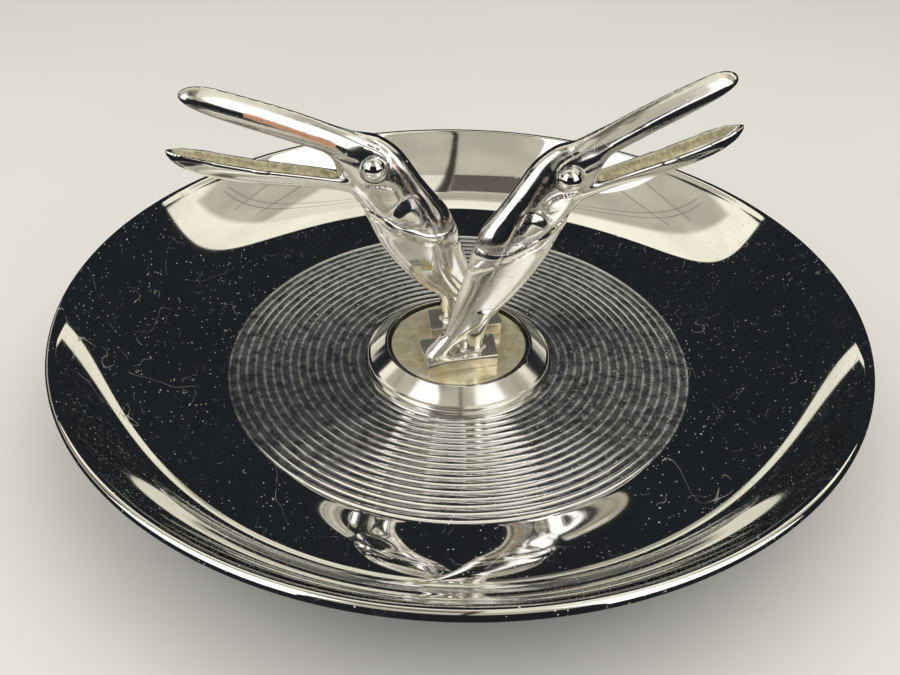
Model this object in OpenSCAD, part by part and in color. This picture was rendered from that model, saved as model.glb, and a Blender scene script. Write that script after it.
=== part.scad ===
// Twin bird-head ornament on a reeded dish. Millimetres, +Z up.
// The origin is on the dish's axis, at the level of the surface that it stands on.

/* [Dish] */
// Outside diameter over the rolled rim
dish_d = 254; // [244:1:270]
// Height of the middle of the floor above the table
floor_z = 8; // [7.5:0.1:10]
// Height of the rim's centre above the middle of the floor
rim_rise = 30.2; // [28:0.1:34]
// Radius of the rolled rim's section
rim_bead_r = 1.6; // [1.3:0.1:2]
// Thickness of the dish's sheet metal
sheet_t = 1.2; // [1:0.1:1.4]
// Outer radius of the reeded zone
reed_r = 78.5; // [74:0.5:82]
// Number of reeds
reed_count = 16; // [10:1:20]
// Height of each reed
reed_h = 0.27; // [0.2:0.01:0.4]
// Rise of the floor from its middle to the edge of the reeds
floor_rise = 2.9; // [1.5:0.1:4]

/* [Collar and seat] */
// Outer radius of the collar's base
collar_r = 31.8; // [30:0.1:34]
// Radius of the top edge of the bevel
collar_top_r = 25.5; // [25:0.1:27]
// Height of the collar above the floor
collar_h = 6.9; // [6.5:0.1:8]
// Radius of the seat disc
seat_r = 23.5; // [22:0.1:23.5]
// Height of the seat disc's top above the floor
seat_z = 5.9; // [5.5:0.1:6.2]

/* [Birds] */
// Angle between each bird's plane and the X axis
bird_turn = 16.5; // [10:0.5:22]
// Distance of each bird's plane from the dish's axis
bird_offset = 10.3; // [9.8:0.1:11]
// Radius of the eye balls
eye_r = 3.8; // [3.2:0.1:4]
// Thickness of the foot flange
flange_t = 4.5; // [4:0.1:4.8]
// How far the pair stands to the right of the dish's axis
ornament_x = 1; // [0:0.1:1.5]

/* [Fastening] */
// Radius of the screw shanks
screw_r = 2.5; // [2:0.1:2.6]
// Radius of the screw heads
screw_head_r = 4.4; // [4:0.1:4.8]
// Radius of the foot ring that the dish stands on
foot_r = 62; // [50:1:66]

/* [Hidden] */

round_fn = 96;
small_fn = 32;
rim_r = dish_d / 2 - rim_bead_r;
flat_r = collar_r + 0.6;
screw_clearance = 0.05;

// Dish profile: a flat centre, a slightly rising reeded zone, then one smooth curve up to the rim.
reed_pitch = (reed_r - flat_r) / reed_count;
reed_steps = 5;
curve_steps = 18;
curve_start = [reed_r + 1, floor_rise + 0.1];
low_slope = 3.5;
low_reach = 15.8;
rim_slope = 58.6;
rim_reach = 30;
rim_inset = rim_bead_r - 0.15;
curve_end = [rim_r - rim_inset * sin(rim_slope), rim_rise + rim_inset * cos(rim_slope)];
curve = [
    curve_start,
    curve_start + low_reach * [cos(low_slope), sin(low_slope)],
    curve_end - rim_reach * [cos(rim_slope), sin(rim_slope)],
    curve_end];

function square_of(x) = x * x;
function dished(r) = r < flat_r ? 0 : floor_rise * (r - flat_r) / (reed_r - flat_r);
function reed_bump(k) = reed_h * (1 - square_of(2 * k / reed_steps - 1));
function curve_at(t) = curve[0] * pow(1 - t, 3) + curve[1] * 3 * t * square_of(1 - t)
    + curve[2] * 3 * square_of(t) * (1 - t) + curve[3] * pow(t, 3);
function curve_normal(t) =
    let (d = curve_at(t + 0.001) - curve_at(t - 0.001))
    [d[1], -d[0]] / norm(d);

reed_points = [for (i = [0 : reed_count - 1], k = [0 : reed_steps - 1])
    let (r = flat_r + (i + k / reed_steps) * reed_pitch)
    [r, dished(r) + reed_bump(k)]];
curve_points = [for (i = [0 : curve_steps]) curve_at(i / curve_steps)];
curve_under = [for (i = [curve_steps : -1 : 0])
    let (t = i / curve_steps)
    curve_at(t) + sheet_t * curve_normal(t)];
floor_under = [[reed_r, floor_rise - sheet_t], [flat_r, -sheet_t]];

// Stack under the dish: clamp plate, washers, screw heads.
plate_t = 1.5;
plate_r = 21;
washer_t = 0.8;
washer_r = 4.9;
head_t = 2.6;
felt_t = 1;
flange_w = 7;
plate_z = floor_z - sheet_t - plate_t;
washer_z = plate_z - washer_t;
seat_t = 1.6;
flange_z = floor_z + seat_z;
flange_top = flange_z + flange_t;
bore_depth = 6.8;
screw_places = [[3, -8], [-7.2, -12.1]];

// Outline of one foot flange, seen from above. The other bird's is the same, turned half a turn.
flange_outline = [[-10.7, -18.6], [12.3, -12.5], [10.8, -0.6], [-9, -4.1], [-13.5, -5.1], [-14.4, -6.8]];

// Stations of a bird's body, from the tip of the upper bill to the foot of the neck.
// Each one is [back point, throat point, half width, lean to the side].
// A point is [distance outwards, height above the floor].
body_stations = [
    [[79.3, 96.6], [79.1, 95.6], 0.9, 0],
    [[78.0, 97.9], [77.7, 94.2], 2.5, 0],
    [[74.5, 98.6], [75.5, 92.7], 3.5, 0],
    [[69.2, 97.6], [71.0, 90.2], 3.9, 0],
    [[59.0, 93.8], [62.0, 86.0], 3.9, 0],
    [[47.0, 88.9], [50.4, 80.9], 4.1, 0],
    [[36.4, 83.9], [40.2, 75.8], 4.6, 0],
    [[29.6, 81.5], [37.0, 68.0], 5.2, 0],
    [[24.1, 79.9], [33.4, 62.2], 5.6, 0.5],
    [[17.9, 74.9], [30.4, 57.4], 5.7, 1.2],
    [[12.0, 66.0], [28.2, 50.5], 5.5, 1.7],
    [[7.0, 59.2], [25.2, 43.6], 5.7, 1.9],
    [[3.2, 53.8], [21.4, 37.4], 5.9, 2],
    [[0.3, 46.8], [17.0, 31.6], 5.7, 2],
    [[-2.0, 38.5], [11.7, 25.8], 5.2, 1.8],
    [[-4.5, 30.9], [5.5, 20.4], 4.5, 1.3],
    [[-6.8, 24.1], [-0.6, 15.8], 3.6, 0.7],
    [[-8.8, 18.5], [-6.2, 12.6], 2.2, 0]];

// Stations of the scooped lower bill: [middle of its open edge, keel, half width].
jaw_stations = [
    [[29.0, 66.5], [30.5, 61.9], 4.2],
    [[38.5, 69.0], [40.0, 64.4], 4.3],
    [[45.0, 70.7], [46.2, 65.8], 4.4],
    [[60.0, 74.2], [61.6, 68.6], 4.5],
    [[73.0, 78.1], [75.0, 72.3], 4.3],
    [[79.8, 80.3], [82.0, 76.0], 3.3],
    [[84.0, 81.3], [84.9, 79.1], 1.5],
    [[85.2, 81.6], [85.4, 81.1], 0.5]];
jaw_hollow = 0.68;

eye_place = [27.2, 71.7];
eye_side = 4.8;
peg_r = 1.4;
peg_reach = eye_side - 0.8;

ring_sides = 20;
jaw_sides = 9;
leg_sides = 16;

// A point in a bird's own plane, w to the side of it, in the dish's frame.
function in_plane(s, w, z) = [
    s * cos(bird_turn) - (w - bird_offset) * sin(bird_turn),
    s * sin(bird_turn) + (w - bird_offset) * cos(bird_turn),
    floor_z + z];

function body_ring(station) =
    let (middle = (station[0] + station[1]) / 2, reach = (station[0] - station[1]) / 2)
    [for (i = [0 : ring_sides - 1])
        let (a = 360 * i / ring_sides, p = middle + reach * cos(a))
        in_plane(p[0], station[3] + station[2] * sin(a), p[1])];

function jaw_arc(station, size, turn) =
    let (drop = station[1] - station[0])
    [for (i = [0 : jaw_sides - 1])
        let (a = turn * (180 * i / (jaw_sides - 1) - 90), p = station[0] + drop * cos(a) * size)
        in_plane(p[0], station[2] * size * sin(a), p[1])];

function jaw_ring(station) = concat(jaw_arc(station, 1, 1), jaw_arc(station, jaw_hollow, -1));

// A level oval ring for the legs of the casting: centre, half length, half width.
function oval_ring(centre, half_x, half_y) =
    [for (i = [0 : leg_sides - 1])
        let (a = 360 * i / leg_sides)
        centre + [half_x * cos(a), half_y * sin(a), 0]];

function flat(list) = [for (part = list, item = part) item];

function side_faces(n, rings) = flat([for (j = [0 : rings - 2], i = [0 : n - 1])
    let (k = (i + 1) % n, a = j * n + i, b = j * n + k, c = a + n, d = b + n)
    [[a, d, b], [a, c, d]]]);

// A closed solid through rings of equal count, with a fan at each end.
module loft(rings) {
    n = len(rings[0]);
    last = (len(rings) - 1) * n;
    first_cap = [for (i = [1 : n - 2]) [0, i, i + 1]];
    last_cap = [for (i = [1 : n - 2]) [last, last + i + 1, last + i]];
    polyhedron(points = flat(rings), faces = concat(side_faces(n, len(rings)), first_cap, last_cap));
}

// The same for the scoop, whose ends are strips between the outer and the inner arc.
module loft_scoop(rings) {
    n = len(rings[0]);
    last = (len(rings) - 1) * n;
    pairs = [for (i = [0 : jaw_sides - 2]) [i, i + 1, n - 2 - i, n - 1 - i]];
    first_cap = flat([for (q = pairs) [[q[0], q[1], q[2]], [q[0], q[2], q[3]]]]);
    last_cap = flat([for (q = pairs)
        [[last + q[0], last + q[2], last + q[1]], [last + q[0], last + q[3], last + q[2]]]]);
    polyhedron(points = flat(rings), faces = concat(side_faces(n, len(rings)), first_cap, last_cap));
}

module dish() {
    color("gainsboro")
    translate([0, 0, floor_z])
    difference() {
        union() {
            rotate_extrude($fn = round_fn)
                polygon(concat([[0, 0]], reed_points, [[reed_r, floor_rise]], curve_points,
                    curve_under, floor_under, [[0, -sheet_t]]));
            rotate_extrude($fn = round_fn)
                translate([rim_r, rim_rise])
                circle(r = rim_bead_r, $fn = small_fn);
        }
        screw_holes(-sheet_t - 1, sheet_t + 2);
    }
}

// Four clearance holes, two for each bird.
module screw_holes(z, h) {
    at_screws()
        translate([0, 0, z])
        cylinder(r = screw_r + 0.3, h = h, $fn = small_fn);
}

// Puts its children at the four screw places.
module at_screws() {
    translate([ornament_x, 0, 0])
    for (turn = [0, 180], place = screw_places)
        rotate(turn)
        translate([place[0], place[1], 0])
        children();
}

module collar() {
    rebate_r = seat_r + 1.2;
    rebate_z = seat_z - seat_t;
    bore_r = 18;
    lip_h = 2.5;
    color("silver")
    translate([0, 0, floor_z])
    rotate_extrude($fn = round_fn)
    polygon([[bore_r, 0], [collar_r - 0.2, 0], [collar_r, 0.2], [collar_r, lip_h],
        [collar_r - 0.4, lip_h + 0.4], [collar_r - 1, lip_h + 0.6],
        [collar_top_r + 0.4, collar_h - 0.1], [collar_top_r, collar_h],
        [rebate_r + 0.2, collar_h], [rebate_r, collar_h - 0.2], [rebate_r, rebate_z], [bore_r, rebate_z]]);
}

module seat_disc() {
    color("darkkhaki")
    translate([0, 0, floor_z])
    difference() {
        translate([0, 0, seat_z - seat_t])
            cylinder(r = seat_r, h = seat_t, $fn = round_fn);
        screw_holes(seat_z - seat_t - 1, seat_t + 2);
    }
}

module bird() {
    difference() {
        union() {
            loft([for (s = body_stations) body_ring(s)]);
            loft_scoop([for (s = jaw_stations) jaw_ring(s)]);
            column();
            root();
            translate([0, 0, flange_z])
                linear_extrude(height = flange_t)
                polygon(flange_outline);
        }
        for (place = screw_places)
            translate([place[0], place[1], flange_z - 1])
            cylinder(r = screw_r + screw_clearance, h = bore_depth + 1, $fn = small_fn);
        for (side = [-1, 1])
            eye_at(side) {
                sphere(r = eye_r + screw_clearance, $fn = small_fn);
                cylinder(r = peg_r + screw_clearance, h = peg_reach + 0.2, $fn = small_fn);
            }
    }
}

// The upright leg under the throat.
module column() {
    loft([
        oval_ring([2.8, -7.9, flange_top - 0.5], 4.9, 4.1),
        oval_ring([3.2, -8.2, flange_top + 2], 4.0, 3.7),
        oval_ring([4.2, -8.8, floor_z + 20], 4.2, 3.6),
        oval_ring([5.6, -9.3, floor_z + 27], 4.6, 3.4)]);
}

// The rounded leg that leans in from the flange's outer end.
module root() {
    loft([
        oval_ring([-8.4, -12.4, flange_top - 0.5], 4.0, 3.5),
        oval_ring([-8.0, -12.3, flange_top + 0.8], 3.9, 3.3),
        oval_ring([-6.2, -12.1, floor_z + 13.4], 3.9, 3.2),
        oval_ring([-3.4, -11.2, floor_z + 17.5], 3.7, 3.1)]);
}

// Puts its children at an eye, with +Z pointing into the head.
module eye_at(side) {
    translate(in_plane(eye_place[0], side * eye_side, eye_place[1]))
        rotate([0, 0, bird_turn])
        rotate([side * 90, 0, 0])
        children();
}

module eye(side) {
    color("whitesmoke")
    eye_at(side) {
        sphere(r = eye_r, $fn = small_fn);
        cylinder(r = peg_r, h = peg_reach, $fn = small_fn);
    }
}

// Turns the children about the ornament's own upright axis.
module turned(angle) {
    translate([ornament_x, 0, 0])
        rotate(angle)
        children();
}

module right_bird() {
    color("lightgray") turned(0) bird();
}

module left_bird() {
    color("lightgray") turned(180) bird();
}

module right_bird_front_eye() {
    turned(0) eye(-1);
}

module right_bird_rear_eye() {
    turned(0) eye(1);
}

module left_bird_front_eye() {
    turned(180) eye(1);
}

module left_bird_rear_eye() {
    turned(180) eye(-1);
}

module clamp_plate() {
    color("dimgray")
    difference() {
        translate([ornament_x, 0, plate_z])
            cylinder(r = plate_r, h = plate_t, $fn = round_fn);
        screw_holes(plate_z - 1, plate_t + 2);
    }
}

module screw_washers() {
    color("slategray")
    at_screws()
        translate([0, 0, washer_z])
        difference() {
            cylinder(r = washer_r, h = washer_t, $fn = small_fn);
            translate([0, 0, -1])
                cylinder(r = screw_r + 0.2, h = washer_t + 2, $fn = small_fn);
        }
}

module ornament_screws() {
    slot_w = 1.2;
    shank_top = flange_z + bore_depth - 1;
    color("darkgray")
    at_screws()
        translate([0, 0, washer_z - head_t])
        difference() {
            union() {
                cylinder(r = screw_head_r, h = head_t, $fn = small_fn);
                cylinder(r = screw_r, h = shank_top - washer_z + head_t, $fn = small_fn);
            }
            translate([-screw_head_r - 1, -slot_w / 2, -1])
                cube([2 * screw_head_r + 2, slot_w, 2]);
        }
}

module foot_ring() {
    band_t = 1.2;
    top_in = floor_z + dished(foot_r - band_t) - sheet_t - 0.05;
    top_out = floor_z + dished(foot_r) - sheet_t - 0.05;
    color("silver")
    rotate_extrude($fn = round_fn)
    polygon([[foot_r - flange_w, felt_t], [foot_r, felt_t], [foot_r, top_out], [foot_r - band_t, top_in],
        [foot_r - band_t, felt_t + band_t], [foot_r - flange_w, felt_t + band_t]]);
}

module felt_ring() {
    inset = 0.5;
    color("darkslategray")
    difference() {
        cylinder(r = foot_r - inset, h = felt_t, $fn = round_fn);
        translate([0, 0, -1])
            cylinder(r = foot_r - flange_w + inset, h = felt_t + 2, $fn = round_fn);
    }
}

dish();
collar();
seat_disc();
right_bird();
left_bird();
right_bird_front_eye();
right_bird_rear_eye();
left_bird_front_eye();
left_bird_rear_eye();
clamp_plate();
screw_washers();
ornament_screws();
foot_ring();
felt_ring();
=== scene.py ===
import math

import bmesh
import bpy
import numpy as np
from mathutils import Matrix, Vector


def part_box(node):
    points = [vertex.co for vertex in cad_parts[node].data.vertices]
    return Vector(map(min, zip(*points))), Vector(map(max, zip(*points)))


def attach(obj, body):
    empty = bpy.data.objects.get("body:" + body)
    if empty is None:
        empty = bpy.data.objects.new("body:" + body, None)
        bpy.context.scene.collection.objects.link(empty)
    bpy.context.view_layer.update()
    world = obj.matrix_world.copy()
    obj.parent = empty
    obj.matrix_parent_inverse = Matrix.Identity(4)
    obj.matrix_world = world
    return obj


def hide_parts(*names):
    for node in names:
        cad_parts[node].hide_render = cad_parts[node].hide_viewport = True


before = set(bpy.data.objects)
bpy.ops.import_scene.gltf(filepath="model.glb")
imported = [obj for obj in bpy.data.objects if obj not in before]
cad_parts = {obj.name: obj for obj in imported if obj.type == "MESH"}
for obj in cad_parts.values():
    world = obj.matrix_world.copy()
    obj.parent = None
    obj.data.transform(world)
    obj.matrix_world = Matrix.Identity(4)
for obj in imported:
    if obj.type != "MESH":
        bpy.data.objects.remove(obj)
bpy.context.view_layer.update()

MM = 0.001

# ---------------------------------------------------------------- sizes, read from the frame
RIM_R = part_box("dish")[1].x
FLOOR_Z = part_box("collar")[0].z
COLLAR_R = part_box("collar")[1].x
COLLAR_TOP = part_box("collar")[1].z
SEAT_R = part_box("seat_disc")[1].x
SEAT_LOW, SEAT_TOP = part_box("seat_disc")[0].z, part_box("seat_disc")[1].z
FOOT_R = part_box("foot_ring")[1].x
FELT_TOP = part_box("felt_ring")[1].z
ORNAMENT_X = sum(corner.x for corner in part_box("clamp_plate")) / 2

# the rest of part.scad's driving values, in millimetres and degrees
BEAD_R = 1.6
SHEET_T = 1.2
REED_R = 78.5
REED_COUNT = 16
REED_H = 0.27
FLOOR_RISE = 2.9
FLAT_R = 32.4
RIM_RISE = 30.2
RIM_SLOPE = 58.6
BIRD_TURN = math.radians(16.5)
BIRD_OFFSET = 10.3
EYE_PLACE = (27.2, 71.7)
EYE_SIDE = 4.8
EYE_R = 3.8
FLANGE_Z = 5.9
FLANGE_T = 4.5


# ---------------------------------------------------------------- mesh helpers
def new_object(name, data):
    """An object in the scene that holds a mesh, a camera or a light."""
    obj = bpy.data.objects.new(name, data)
    bpy.context.scene.collection.objects.link(obj)
    return obj


def mesh_object(name, verts, faces, smooth=True):
    """An object from lists of points and faces, in metres, with its faces turned outwards."""
    mesh = bpy.data.meshes.new(name)
    mesh.from_pydata([tuple(v) for v in verts], [], [tuple(f) for f in faces])
    bm = bmesh.new()
    bm.from_mesh(mesh)
    bmesh.ops.remove_doubles(bm, verts=bm.verts, dist=1e-7)
    bmesh.ops.dissolve_degenerate(bm, edges=bm.edges, dist=1e-8)
    bmesh.ops.recalc_face_normals(bm, faces=bm.faces)
    bm.to_mesh(mesh)
    bm.free()
    if smooth:
        mesh.shade_smooth()
    return new_object(name, mesh)


def finish_piece(obj, material, slot, *nodes):
    """Gives a piece its material, and lets it stand for its CAD nodes. The slot is not used."""
    obj.data.materials.clear()
    obj.data.materials.append(material)
    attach(obj, "root")
    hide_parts(*nodes)


def rounded(points, steps=5):
    """A closed outline whose corners are rounded: each point is (r, z, corner radius)."""
    out = []
    for i, (r, z, radius) in enumerate(points):
        here = np.array((r, z), float)
        before = np.array(points[i - 1][:2], float) - here
        after = np.array(points[(i + 1) % len(points)][:2], float) - here
        if radius == 0:
            out.append(here)
            continue
        before /= np.linalg.norm(before)
        after /= np.linalg.norm(after)
        half = math.acos(max(-1, min(1, float(before @ after)))) / 2
        reach = radius / math.tan(half)
        middle = before + after
        centre = here + middle / np.linalg.norm(middle) * radius / math.sin(half)
        start, end = here + before * reach - centre, here + after * reach - centre
        a = math.atan2(start[1], start[0])
        sweep = (math.atan2(end[1], end[0]) - a + math.pi) % (2 * math.pi) - math.pi
        for k in range(steps + 1):
            t = a + sweep * k / steps
            out.append(centre + radius * np.array((math.cos(t), math.sin(t))))
    return out


def lathe(name, outline, segments=288):
    """A closed outline of (r, z) points in millimetres, turned about the Z axis."""
    count = len(outline)
    turn = [2 * math.pi * k / segments for k in range(segments)]
    verts = [(r * math.cos(a) * MM, r * math.sin(a) * MM, z * MM) for a in turn for r, z in outline]
    faces = []
    for k in range(segments):
        here, there = k * count, (k + 1) % segments * count
        for i in range(count):
            j = (i + 1) % count
            if outline[i][0] < 1e-6 and outline[j][0] < 1e-6:
                continue
            faces.append((here + i, here + j, there + j, there + i))
    return mesh_object(name, verts, faces)


# ---------------------------------------------------------------- camera
def add_camera():
    """The camera stands in front of the dish and above it, turned slightly about its own axis."""
    reach = 2.2438 * RIM_R
    elevation = math.radians(38.06)
    roll = math.radians(1.04)
    place = Vector((0, -reach * math.cos(elevation), reach * math.sin(elevation) + FLOOR_Z))
    aim = Vector((-0.0249 * RIM_R, 0.0801 * RIM_R, FLOOR_Z))
    forward = (aim - place).normalized()
    right = forward.cross(Vector((0, 0, 1))).normalized()
    up = right.cross(forward)
    right, up = (right * math.cos(roll) + up * math.sin(roll), up * math.cos(roll) - right * math.sin(roll))
    data = bpy.data.cameras.new("camera")
    data.sensor_width = 36
    data.lens = 32.24
    data.clip_start = 0.01
    data.clip_end = 50
    camera = new_object("camera", data)
    turn = Matrix((right, up, -forward)).transposed()
    camera.matrix_world = Matrix.Translation(place) @ turn.to_4x4()
    bpy.context.scene.camera = camera


# ---------------------------------------------------------------- material helpers
class Shader:
    """A node material under construction, with short calls for the nodes that are used here."""

    def __init__(self, name, kind="ShaderNodeBsdfPrincipled"):
        self.material = bpy.data.materials.new(name)
        self.material.use_nodes = True
        self.tree = self.material.node_tree
        self.tree.nodes.clear()
        self.out = self.tree.nodes.new("ShaderNodeOutputMaterial")
        self.bsdf = self.tree.nodes.new(kind)
        self.link(self.bsdf.outputs[0], self.out.inputs["Surface"])
        self.place = self.tree.nodes.new("ShaderNodeTexCoord").outputs["Object"]

    def link(self, a, b):
        self.tree.links.new(a, b)

    def put(self, socket, value):
        """Sets a socket to a number or colour, or links it to another node's output."""
        if isinstance(value, bpy.types.NodeSocket):
            self.link(value, socket)
        elif isinstance(value, (tuple, list)) and len(value) == 3 and socket.type == "RGBA":
            socket.default_value = (*value, 1)
        else:
            socket.default_value = value

    def math(self, operation, a, b=0.0, c=0.0, clamp=False):
        node = self.tree.nodes.new("ShaderNodeMath")
        node.operation = operation
        node.use_clamp = clamp
        for socket, value in zip(node.inputs, (a, b, c)):
            self.put(socket, value)
        return node.outputs[0]

    def times(self, a, b, clamp=False):
        return self.math("MULTIPLY", a, b, clamp=clamp)

    def larger(self, a, b):
        return self.math("MAXIMUM", a, b)

    def apart(self, a, b):
        return self.math("ABSOLUTE", self.math("SUBTRACT", a, b))

    def scaled(self, factors):
        """The place, stretched along each axis by its factor."""
        node = self.tree.nodes.new("ShaderNodeMapping")
        self.link(self.place, node.inputs["Vector"])
        node.inputs["Scale"].default_value = factors
        return node.outputs[0]

    def noise(self, scale, detail=2.0, roughness=0.5, distortion=0.0, place=None):
        """Noise with so many cells to the metre."""
        node = self.tree.nodes.new("ShaderNodeTexNoise")
        self.link(place or self.place, node.inputs["Vector"])
        node.inputs["Scale"].default_value = scale
        node.inputs["Detail"].default_value = detail
        node.inputs["Roughness"].default_value = roughness
        node.inputs["Distortion"].default_value = distortion
        return node.outputs["Fac"]

    def cells(self, scale):
        """Voronoi cells: the distance from each cell's point, and a random number for each cell."""
        node = self.tree.nodes.new("ShaderNodeTexVoronoi")
        self.link(self.place, node.inputs["Vector"])
        node.inputs["Scale"].default_value = scale
        split = self.tree.nodes.new("ShaderNodeSeparateColor")
        self.link(node.outputs["Color"], split.inputs[0])
        return node.outputs["Distance"], split.outputs[0]

    def ramp(self, value, low, high, out_low=0.0, out_high=1.0):
        """A smooth step: out_low below low, out_high above high."""
        node = self.tree.nodes.new("ShaderNodeMapRange")
        node.interpolation_type = "SMOOTHSTEP"
        for socket, v in zip(node.inputs[:5], (value, low, high, out_low, out_high)):
            self.put(socket, v)
        return node.outputs[0]

    def mix(self, factor, a, b):
        """Mixes two colours."""
        node = self.tree.nodes.new("ShaderNodeMix")
        node.data_type = "RGBA"
        for name, value in (("Factor", factor), ("A", a), ("B", b)):
            socket = [s for s in node.inputs if s.name == name and s.enabled][0]
            self.put(socket, value)
        return [s for s in node.outputs if s.enabled][0]

    def vector(self, operation, a, b):
        node = self.tree.nodes.new("ShaderNodeVectorMath")
        node.operation = operation
        for socket, value in zip(node.inputs, (a, b)):
            self.put(socket, value)
        return node.outputs["Value" if operation in ("DISTANCE", "DOT_PRODUCT") else "Vector"]

    def along(self, start, end, radius):
        """A ragged streak about the line between two points in metres."""
        run = end - start
        from_start = self.vector("SUBTRACT", self.place, start)
        t = self.math("DIVIDE", self.vector("DOT_PRODUCT", from_start, run), run.length_squared, clamp=True)
        scale = self.tree.nodes.new("ShaderNodeVectorMath")
        scale.operation = "SCALE"
        scale.inputs[0].default_value = run
        self.link(t, scale.inputs["Scale"])
        nearest = self.vector("ADD", scale.outputs[0], start)
        reach = self.math("MULTIPLY_ADD", self.noise(500, 3, 0.7), radius * 0.9, radius * 0.55)
        inside = self.math("SUBTRACT", reach, self.vector("DISTANCE", self.place, nearest))
        return self.ramp(inside, 0, radius * 0.3)

    def mark(self, name):
        """One of the shares that the mesh carries."""
        node = self.tree.nodes.new("ShaderNodeAttribute")
        node.attribute_name = name
        return node.outputs["Fac"]

    def bump(self, height, distance):
        """Tilts the surface as if it rose and fell by the height times the distance."""
        node = self.tree.nodes.new("ShaderNodeBump")
        node.inputs["Distance"].default_value = distance
        self.link(height, node.inputs["Height"])
        self.link(node.outputs["Normal"], self.bsdf.inputs["Normal"])

    def axes(self):
        """The place's x, y and z."""
        split = self.tree.nodes.new("ShaderNodeSeparateXYZ")
        self.link(self.place, split.inputs[0])
        return split.outputs[0], split.outputs[1], split.outputs[2]

    def from_axis(self):
        """Distance from the dish's axis."""
        x, y, _ = self.axes()
        return self.math("SQRT", self.math("ADD", self.times(x, x), self.times(y, y)))

    def height(self):
        """Height above the table."""
        return self.axes()[2]

    def leaning(self):
        """Distance towards the front left, where the dust lies thickest."""
        return self.vector("DOT_PRODUCT", self.place, Vector((-0.8, -0.6, 0)))

    def overlay(self, cover, colour, rough):
        """Lays a dull film over what the shader already shows."""
        base, gloss, metal = (self.bsdf.inputs[name] for name in ("Base Color", "Roughness", "Metallic"))
        under = [socket.links[0].from_socket for socket in (base, gloss, metal)]
        self.put(base, self.mix(cover, under[0], colour))
        self.put(gloss, self.larger(under[1], self.times(cover, rough)))
        self.put(metal, self.times(under[2], self.math("SUBTRACT", 1.0, cover)))

    def set(self, **values):
        """Sets the surface's own inputs and returns the material."""
        for name, value in values.items():
            self.put(self.bsdf.inputs[name.replace("_", " ")], value)
        return self.material


# linear colours of what lies on the plate
DUST = (0.72, 0.71, 0.66)
PALE_DUST = (0.80, 0.78, 0.72)
GREY_DIRT = (0.34, 0.34, 0.32)
BROWN_DIRT = (0.20, 0.15, 0.09)
# the dark of the pits, which also paints dark reflection on the casting's valley, pocket and bill
PIT_DARK_AND_PAINTED_REFLECTION = (0.12, 0.12, 0.13)
BROWN_STAIN = (0.50, 0.30, 0.20)
BARE_COPPER = (0.86, 0.46, 0.29)
YELLOW_CRUST = (0.66, 0.54, 0.12)


def hairlines(s, scale, width, keep, seed_scale=1.0):
    """Fine curved scratches: the contour lines of a stretched noise, broken up by a second noise."""
    place = s.scaled((seed_scale, 1.0, seed_scale * 0.7))
    field = s.noise(scale, 2, 0.45, 0.6, place)
    line = s.ramp(s.apart(field, 0.5), 0, width, 1, 0)
    return s.times(line, s.ramp(s.noise(scale * 2.3, 1), keep, keep + 0.06))


def specks(s, scale, largest, share):
    """Dust: a round speck in a share of the cells, each of its own size. largest is a share of the cell."""
    distance, chance = s.cells(scale)
    size = s.ramp(chance, 1 - share, 1.0, 0.0, largest)
    return s.ramp(s.math("SUBTRACT", size, distance), 0, 0.04)


def chrome(name, bright, warm, rough, wave, dust=None, scratch=0.5):
    """Bright plate: a slightly uneven mirror with fine scratches, haze and dust."""
    s = Shader(name)
    haze = s.noise(28, 3, 0.6)
    fine = s.noise(1400, 2)
    lines = s.larger(hairlines(s, 30, 0.0022, 0.52), hairlines(s, 55, 0.0035, 0.56, 1.6))
    lines = s.times(lines, scratch)
    colour = s.mix(s.ramp(haze, 0.4, 0.75), bright, warm)
    gloss = s.math("ADD", s.ramp(haze, 0.35, 0.8, rough, rough * 2.2), s.times(fine, rough * 0.5))
    gloss = s.math("ADD", gloss, s.times(lines, 0.35))
    metal = 1.0
    if dust:
        cover = s.larger(specks(s, 700, 0.24, 0.06), specks(s, 1500, 0.34, 0.12))
        patch = s.ramp(s.noise(22, 3, 0.7), 0.40, 0.64, 0.15, 1.0)
        drift = s.ramp(s.leaning(), 0.02, 0.11, 0.6, 1.0)
        cover = s.times(cover, s.times(patch, drift))
        cover = s.larger(cover, s.times(s.times(lines, patch), 0.5))
        cover = s.times(cover, dust, clamp=True)
        colour = s.mix(cover, colour, DUST)
        gloss = s.larger(gloss, s.times(cover, 0.8))
        metal = s.math("SUBTRACT", 1.0, cover)
    s.bump(s.noise(wave[0], 2, 0.5), wave[1] * MM)
    s.set(Base_Color=colour, Roughness=gloss, Metallic=metal)
    return s


# ---------------------------------------------------------------- materials
def dish_material():
    """Bright plate with dust, and grey dirt in the grooves between the reeds."""
    s = chrome("dish_plate", (0.90, 0.90, 0.89), (0.83, 0.83, 0.80), 0.022, (35, 0.004), dust=1.0)
    pitch = (REED_R - FLAT_R) / REED_COUNT * MM
    r = s.from_axis()
    phase = s.math("FRACT", s.math("DIVIDE", s.math("SUBTRACT", r, FLAT_R * MM), pitch))
    groove_share = s.ramp(s.apart(phase, 0.5), 0.27, 0.46)
    past_middle = s.ramp(r, FLAT_R * MM, (FLAT_R + 0.5) * MM)
    before_end = s.ramp(r, REED_R * MM, (REED_R + 0.6) * MM, 1, 0)
    reeded = s.times(past_middle, before_end)
    upward = s.ramp(s.height(), FLOOR_Z - 0.6 * MM, FLOOR_Z - 0.2 * MM)
    broken = s.ramp(s.noise(300, 4, 0.7), 0.34, 0.66, 0.12, 1.0)
    broken = s.times(broken, s.ramp(s.noise(18, 2), 0.35, 0.6, 0.45, 1.0))
    film = s.math("MULTIPLY_ADD", groove_share, 0.30, 0.09)
    dirt = s.times(s.times(film, reeded), s.times(broken, upward))
    s.overlay(dirt, GREY_DIRT, 0.6)
    return s.material


def collar_material():
    """Plate that was turned before plating, a little duller than the dish."""
    s = chrome("collar_plate", (0.86, 0.86, 0.84), (0.74, 0.73, 0.69), 0.07, (220, 0.004), dust=0.5)
    return s.material


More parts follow.
